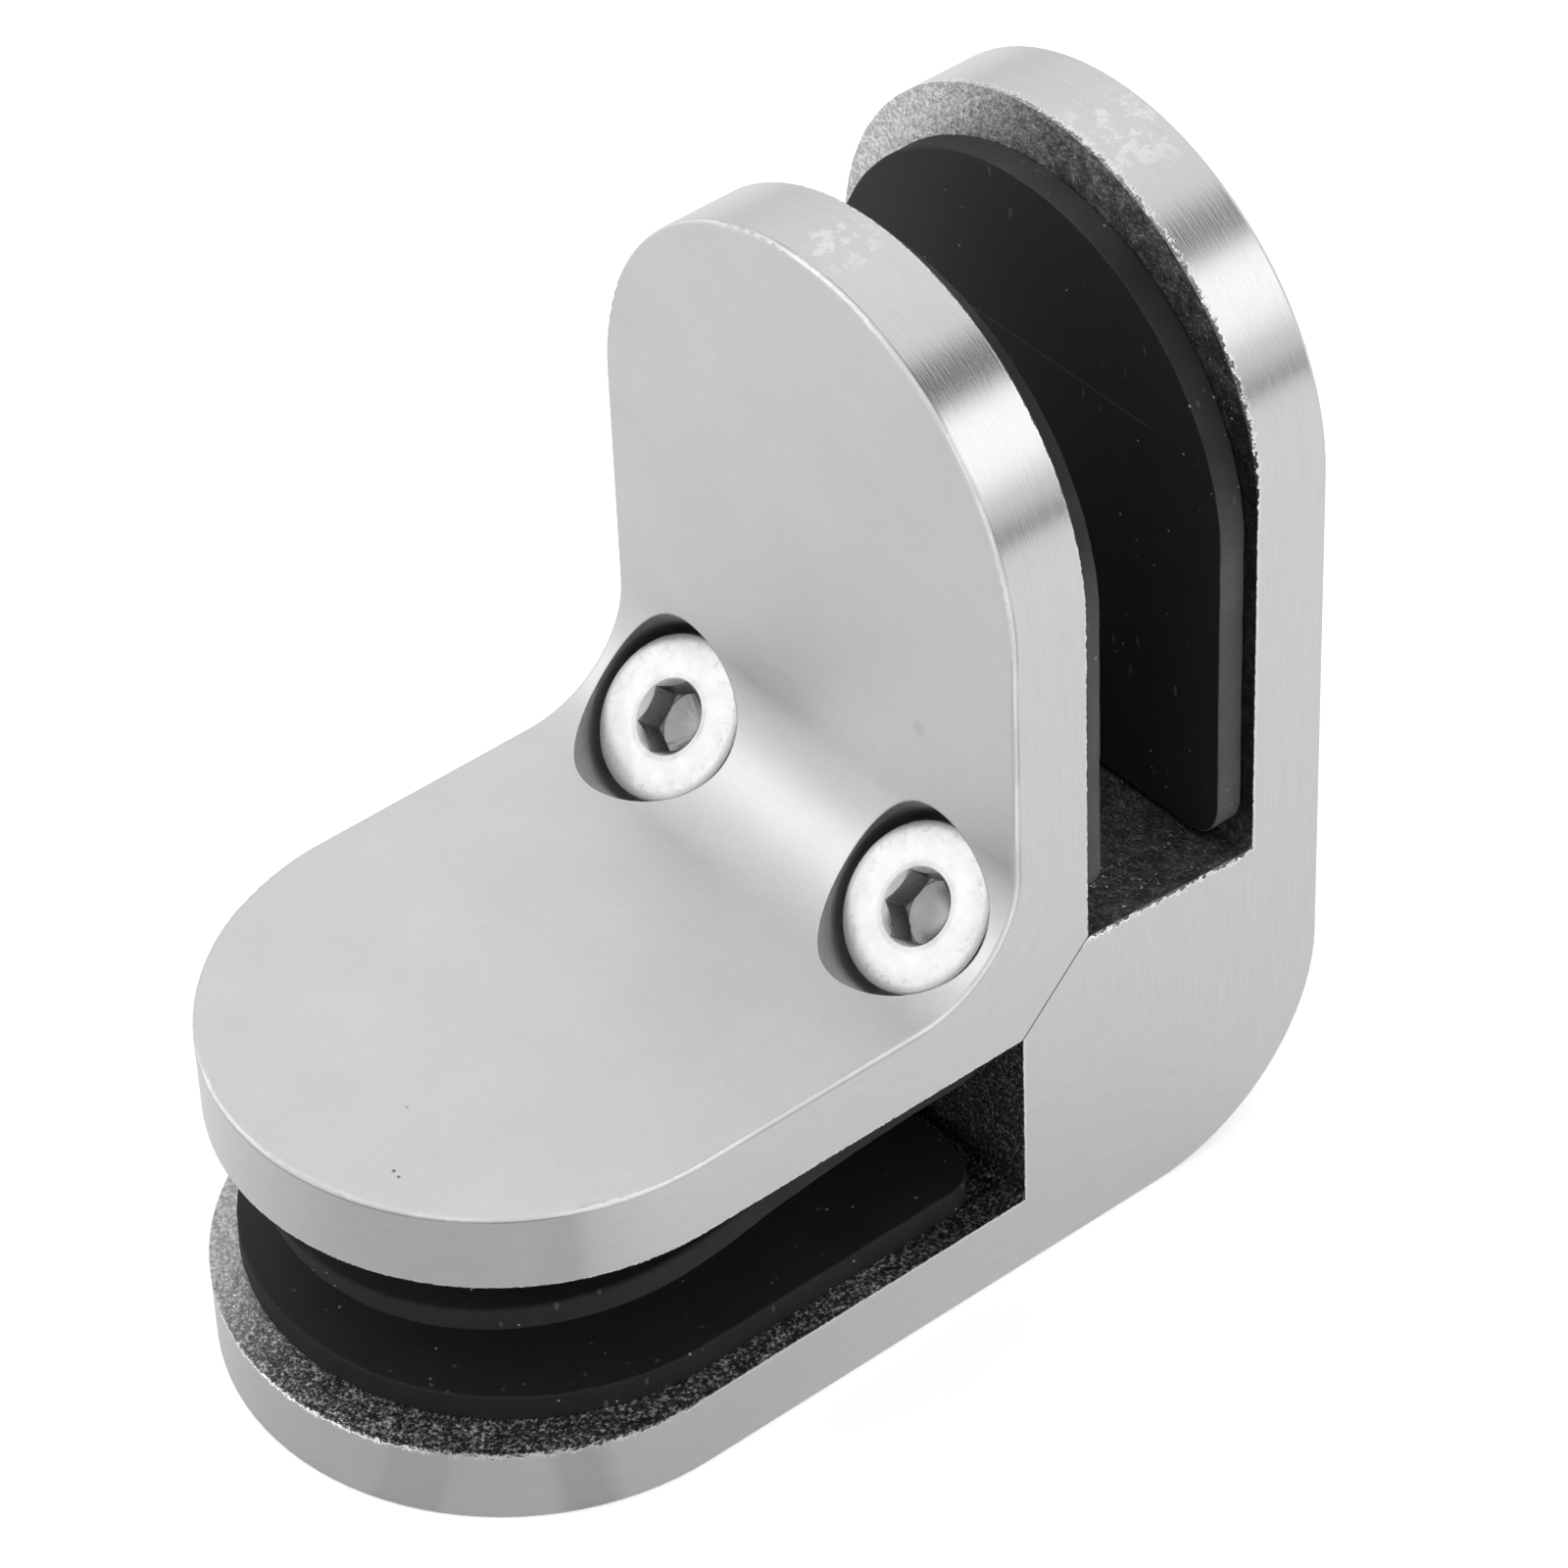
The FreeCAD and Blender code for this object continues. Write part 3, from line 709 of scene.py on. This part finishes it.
def loose_pad_form(cad_form):
    """The foot plate's pad: stuck flat at its inner end, then bent down, then hanging straight to its tip."""
    places = [vertex.co / MM for vertex in cad_form.verts]
    start, tip = min(place.x for place in places), max(place.x for place in places)
    half_width, level = max(place.y for place in places), max(place.z for place in places)
    form = bmesh.new()
    rows = []
    for along, wide in loose_pad_outline(half_width, tip - start):
        bent = along - PAD_STUCK_LENGTH
        turned = min(math.asin(min(max(bent / PAD_BEND_RADIUS, 0.0), 1.0)), PAD_DROOP)
        sunk = PAD_BEND_RADIUS * (1.0 - math.cos(turned))
        beyond = max(bent - PAD_BEND_RADIUS * math.sin(PAD_DROOP), 0.0)
        top = Vector((start + along, 0.0, level - sunk - beyond * math.tan(PAD_DROOP)))
        under = top - PAD_THICKNESS * Vector((math.sin(turned), 0.0, math.cos(turned)))
        sides = (-wide, wide) if wide > 0.01 else (0.0,)
        row = []
        for spot in (top, under):
            row.append([form.verts.new(Vector((spot.x, side, spot.z)) * MM) for side in sides])
        rows.append(row)
    for (top, under), (next_top, next_under) in zip(rows, rows[1:]):
        form.faces.new([*top, *reversed(next_top)])
        form.faces.new([*reversed(under), *next_under])
        form.faces.new([top[-1], under[-1], next_under[-1], next_top[-1]])
        form.faces.new([under[0], top[0], next_top[0], next_under[0]])
    first_top, first_under = rows[0]
    form.faces.new([first_top[0], first_under[0], first_under[1], first_top[1]])
    bmesh.ops.recalc_face_normals(form, faces=form.faces)
    return form


def sway_outline(form, out):
    """Moves the cut edges a little sideways, as hand-cut rubber has them."""
    long_scale, long_size = LONG_SWAY
    short_scale, short_size = SHORT_SWAY
    for vertex in form.verts:
        spot = vertex.co / MM
        flat_spot = spot - out * spot.dot(out)
        sway = noise.noise_vector(flat_spot * long_scale) * long_size
        sway += noise.noise_vector(spot * short_scale) * short_size
        sideways = Vector(((0.0 if out.x else sway.x), sway.y, (0.0 if out.z else sway.z)))
        vertex.co += sideways * MM


def even_shading(mesh):
    """The same mesh with its wide faces shaded flat and its small round edges shaded smooth."""
    holder = new_object(mesh.name, mesh)
    holder.modifiers.new("even", "WEIGHTED_NORMAL")
    return evaluated_mesh(holder)


def make_rubber_pad(node, body, out, rubber, edge_radius):
    """A pad with softly rounded, slightly uneven cut edges; out is the way its glass side faces."""
    form = merged_copy(node)
    if node == "plate_foot_pad":
        form = loose_pad_form(form)
    for edge in outline_edges(form, out):
        cuts = int(edge.calc_length() / (PAD_EDGE_STEP * MM))
        if cuts:
            bmesh.ops.subdivide_edges(form, edges=[edge], cuts=cuts)
    sway_outline(form, out)
    bmesh.ops.bevel(form, geom=outline_edges(form, out), offset=edge_radius * MM, segments=3,
                    profile=0.6, affect="EDGES")
    mesh = bpy.data.meshes.new(f"{node}_rubber")
    form.to_mesh(mesh)
    form.free()
    marks = mesh.attributes.new("cut_edge", "FLOAT", "FACE")
    for polygon in mesh.polygons:
        polygon.use_smooth = True
        marks.data[polygon.index].value = 1.0 if abs(polygon.normal.dot(out)) < 0.97 else 0.0
    finish_piece(f"{node}_rubber", even_shading(mesh), body, [node], rubber)


class Threader(NodeMaker):
    """The thread's Geometry Nodes tree, with its sizes as named inputs."""

    SIZES = ("Length", "Overlap", "Radius", "Pitch", "Depth", "Chamfer", "Sideways", "Seat")

    def __init__(self):
        super().__init__(bpy.data.node_groups.new("screw_thread", "GeometryNodeTree"))
        self.sockets = {name: self.new_input(name, "NodeSocketFloat") for name in self.SIZES}
        self.sockets["Steel"] = self.new_input("Steel", "NodeSocketMaterial")
        self.tree.interface.new_socket("Geometry", in_out="OUTPUT", socket_type="NodeSocketGeometry")
        self.inputs = self.add("NodeGroupInput").outputs
        self.stand(self.cut_blank())

    def new_input(self, name, kind):
        return self.tree.interface.new_socket(name, in_out="INPUT", socket_type=kind).identifier

    def groove(self, across, aside, along):
        """How deep the thread cuts: a helix of one pitch a turn, which runs out below the head.

        The whole turns only keep the count of turns above zero.
        """
        turn = self.over(self.maths("ARCTAN2", aside, across), math.tau)
        turns = self.plus(self.minus(self.over(along, self.inputs["Pitch"]), turn), WHOLE_TURNS)
        from_root = self.maths("ABSOLUTE", self.minus(self.times(self.maths("FRACT", turns), 2.0), 1.0))
        flank = self.over(self.minus(GROOVE_REACH, from_root), FLANK_WIDTH, clamp=True)
        below_head = self.minus(self.over(self.inputs["Length"], 2.0), along)
        runout = self.over(below_head, self.inputs["Pitch"], clamp=True)
        return self.times(flank, runout, self.inputs["Depth"])

    def cut_blank(self):
        """An upright cylinder about the origin, drawn in along the thread and the end's chamfer."""
        sizes = self.inputs
        blank = self.add("GeometryNodeMeshCylinder", {
            "Vertices": POINTS_AROUND, "Side Segments": POINTS_ALONG, "Radius": sizes["Radius"],
            "Depth": sizes["Length"]})
        place = self.add("GeometryNodeInputPosition").outputs[0]
        across, aside, along = self.parts(place)
        above_end = self.plus(self.over(sizes["Length"], 2.0), along)
        bevelled = self.larger(self.minus(sizes["Chamfer"], above_end), 0.0)
        cut = self.larger(self.groove(across, aside, along), bevelled)
        share = self.over(self.minus(sizes["Radius"], cut), sizes["Radius"])
        moved = self.vector_maths("MULTIPLY", place, self.vector(share, share, 1.0))[0]
        return self.add("GeometryNodeSetPosition", {"Geometry": blank.outputs["Mesh"], "Position": moved})

    def stand(self, shank):
        """The shank hung from its seat and leant 45 degrees into the corner."""
        sizes = self.inputs
        hung = self.vector(z=self.plus(self.times(sizes["Length"], -0.5), sizes["Overlap"]))
        lowered = self.add("GeometryNodeTransform", {"Geometry": shank.outputs[0], "Translation": hung})
        seat = self.vector(self.plus(sizes["Seat"], CORNER_X * MM), sizes["Sideways"], sizes["Seat"])
        leaning = self.add("GeometryNodeTransform", {"Geometry": lowered.outputs[0], "Translation": seat,
                                                     "Rotation": (0.0, math.radians(45.0), 0.0)})
        real = self.add("GeometryNodeRealizeInstances", {"Geometry": leaning.outputs[0]})
        dressed = self.add("GeometryNodeSetMaterial", {"Geometry": real.outputs[0],
                                                       "Material": sizes["Steel"]})
        self.feed(self.add("NodeGroupOutput").inputs["Geometry"], dressed.outputs[0])

    def cut(self, name, values):
        """A plain mesh of one threaded shank."""
        holder = new_object(name, bpy.data.meshes.new(name))
        modifier = holder.modifiers.new("thread", "NODES")
        modifier.node_group = self.tree
        for label, value in values.items():
            modifier[self.sockets[label]] = value
        return evaluated_mesh(holder)


def bare_head(node, side):
    """The screw's head as drawn, with its shank cut off and a hair of rounding on its edges."""
    form = merged_copy(node)
    seat = Vector((SCREW_SEAT + CORNER_X, side, SCREW_SEAT)) * MM
    shank = []
    for face in form.faces:
        if (face.calc_center_median() - seat).dot(SCREW_AXIS) < -0.01 * MM:
            shank.append(face)
    bmesh.ops.delete(form, geom=shank, context="FACES")
    bmesh.ops.holes_fill(form, edges=[edge for edge in form.edges if edge.is_boundary], sides=0)
    sharp = []
    for edge in form.edges:
        if len(edge.link_faces) == 2 and edge.calc_face_angle(0.0) > math.radians(25.0):
            sharp.append(edge)
    bmesh.ops.bevel(form, geom=sharp, offset=HEAD_ROUNDING * MM, segments=2, profile=0.5, affect="EDGES")
    return form


def make_screw(node, side, threader):
    """A head on a shank with a real thread."""
    steel = BrightSteel(f"bright_{node}_steel").make(side)
    form = bare_head(node, side)
    form.from_mesh(threader.cut(f"{node}_thread", {
        "Length": (SHANK_LENGTH + HEAD_OVERLAP) * MM, "Overlap": HEAD_OVERLAP * MM,
        "Radius": SHANK_RADIUS * MM, "Pitch": THREAD_PITCH * MM, "Depth": THREAD_DEPTH * MM,
        "Chamfer": SHANK_CHAMFER * MM, "Sideways": side * MM, "Seat": SCREW_SEAT * MM, "Steel": steel}))
    mesh = bpy.data.meshes.new(f"{node}_turned")
    form.to_mesh(mesh)
    form.free()
    for polygon in mesh.polygons:
        polygon.use_smooth = True
    mesh.set_sharp_from_angle(angle=math.radians(40.0))
    finish_piece(f"{node}_turned", mesh, node, [node], steel)


def dress_casting(node, steel):
    """A casting keeps its own CAD mesh and gets its finish."""
    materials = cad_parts[node].data.materials
    materials.clear()
    materials.append(steel)


def light_world():
    """Soft studio surroundings: white to the camera, with brighter and darker panels in reflections."""
    world = bpy.data.worlds.new("soft_studio")
    bpy.context.scene.world = world
    world.use_nodes = True
    recipe = Recipe(world.node_tree)
    towards = recipe.add("ShaderNodeTexCoord").outputs["Generated"]
    height = recipe.parts(towards)[2]
    glow = recipe.spread(recipe.step(height, -0.2, 1.0), *STUDIO_GLOW)
    for way, inner, outer, change in STUDIO_PANELS:
        facing = recipe.vector_maths("DOT_PRODUCT", towards, Vector(way).normalized())["Value"]
        share = recipe.step(facing, math.cos(math.radians(outer)), math.cos(math.radians(inner)))
        glow = recipe.plus(glow, recipe.times(share, change))
    seen = recipe.add("ShaderNodeLightPath").outputs["Is Camera Ray"]
    strength = recipe.blend(seen, glow, 1.0)
    background = recipe.add("ShaderNodeBackground", {"Color": (1, 1, 1, 1), "Strength": strength})
    output = recipe.add("ShaderNodeOutputWorld")
    recipe.feed(output.inputs["Surface"], background.outputs[0])


def make_lamp(name, place, target, width, power):
    lamp = bpy.data.lights.new(name, "AREA")
    lamp.shape = "DISK"
    lamp.size = width
    lamp.energy = power
    holder = new_object(name, lamp)
    holder.location = place
    holder.rotation_euler = (Vector(target) - Vector(place)).to_track_quat("-Z", "Y").to_euler()


def pale_floor():
    """White to the camera; in reflections it has the shade in front of the foot, with its two flags."""
    material = bpy.data.materials.new("pale_floor")
    material.use_nodes = True
    recipe = Recipe(material.node_tree)
    seen = recipe.add("ShaderNodeLightPath").outputs["Is Camera Ray"]
    place = recipe.add("ShaderNodeTexCoord").outputs["Object"]
    in_front = recipe.step(recipe.distance(place, FRONT_SHADE), *SHADE_REACH)
    shade = recipe.times(in_front, recipe.minus(1.0, seen))
    along_x, across_y = recipe.parts(recipe.vector_maths("SUBTRACT", place, FOOT_TIP_CENTRE)[0])[:2]
    bearing = recipe.maths("ARCTAN2", across_y, along_x)
    for flag, width in FLOOR_FLAGS:
        beside = recipe.maths("ABSOLUTE", recipe.minus(bearing, math.radians(flag)))
        shade = recipe.plus(shade, recipe.times(recipe.step(beside, math.radians(width), 0.0), shade))
    cloth = recipe.add("ShaderNodeBsdfDiffuse", {
        "Color": recipe.tint(recipe.blend(shade, FLOOR_GREY, SHADE_GREY))})
    far_side = recipe.step(across_y, -0.04, 0.06)
    bounce = recipe.blend(shade, recipe.blend(far_side, *FLOOR_BOUNCE), SHADE_BOUNCE)
    glow = recipe.add("ShaderNodeEmission", {
        "Color": (1, 1, 1, 1), "Strength": recipe.blend(seen, bounce, FLOOR_SEEN_GLOW)})
    both = recipe.add("ShaderNodeAddShader", {0: cloth.outputs[0], 1: glow.outputs[0]})
    output = recipe.add("ShaderNodeOutputMaterial")
    recipe.feed(output.inputs["Surface"], both.outputs[0])
    return material


def make_floor():
    bpy.ops.mesh.primitive_plane_add(size=FLOOR_SIZE)
    floor = bpy.context.object
    floor.name = "studio_floor"
    floor.data.materials.append(pale_floor())


def place_camera():
    """The photograph's own viewpoint, from a fit of the clamp's edges to the picture."""
    azimuth, elevation, roll = (math.radians(angle) for angle in CAMERA_ANGLES)
    level = math.cos(elevation)
    back = Vector((math.sin(azimuth) * level, -math.cos(azimuth) * level, math.sin(elevation)))
    right = Vector((math.cos(azimuth), math.sin(azimuth), 0.0))
    up = back.cross(right)
    rolled_right = math.cos(roll) * right + math.sin(roll) * up
    rolled_up = math.cos(roll) * up - math.sin(roll) * right
    lens = bpy.data.cameras.new("photograph_view")
    lens.sensor_width = CAMERA_SENSOR
    lens.lens = CAMERA_LENS
    camera = new_object("photograph_view", lens)
    turn = Matrix((rolled_right, rolled_up, back)).transposed().to_4x4()
    camera.matrix_world = Matrix.Translation(CAMERA_PLACE) @ turn
    bpy.context.scene.camera = camera


satin_body = BodySteel("satin_body_steel").make()
satin_plate = PlateSteel("satin_plate_steel").make()
rubber = BlackRubber("black_rubber").make()
dress_casting("clamp_body", satin_body)
dress_casting("clamp_plate", satin_plate)
threader = Threader()
for node, side in SCREW_SIDES.items():
    make_screw(node, side, threader)
noise.seed_set(SWAY_SEED)
make_rubber_pad("body_upright_pad", "body", Vector((1, 0, 0)), rubber, PAD_EDGE_RADIUS)
make_rubber_pad("body_foot_pad", "body", Vector((0, 0, 1)), rubber, PAD_EDGE_RADIUS)
make_rubber_pad("plate_upright_pad", "plate", Vector((-1, 0, 0)), rubber, PAD_EDGE_RADIUS)
make_rubber_pad("plate_foot_pad", "plate", Vector((0, 0, -1)), rubber, LOOSE_PAD_EDGE_RADIUS)

light_world()
make_lamp("side_softbox", LAMP_PLACE, LAMP_TARGET, LAMP_WIDTH, LAMP_POWER)
make_floor()
place_camera()
bpy.context.scene.view_settings.view_transform = "Standard"
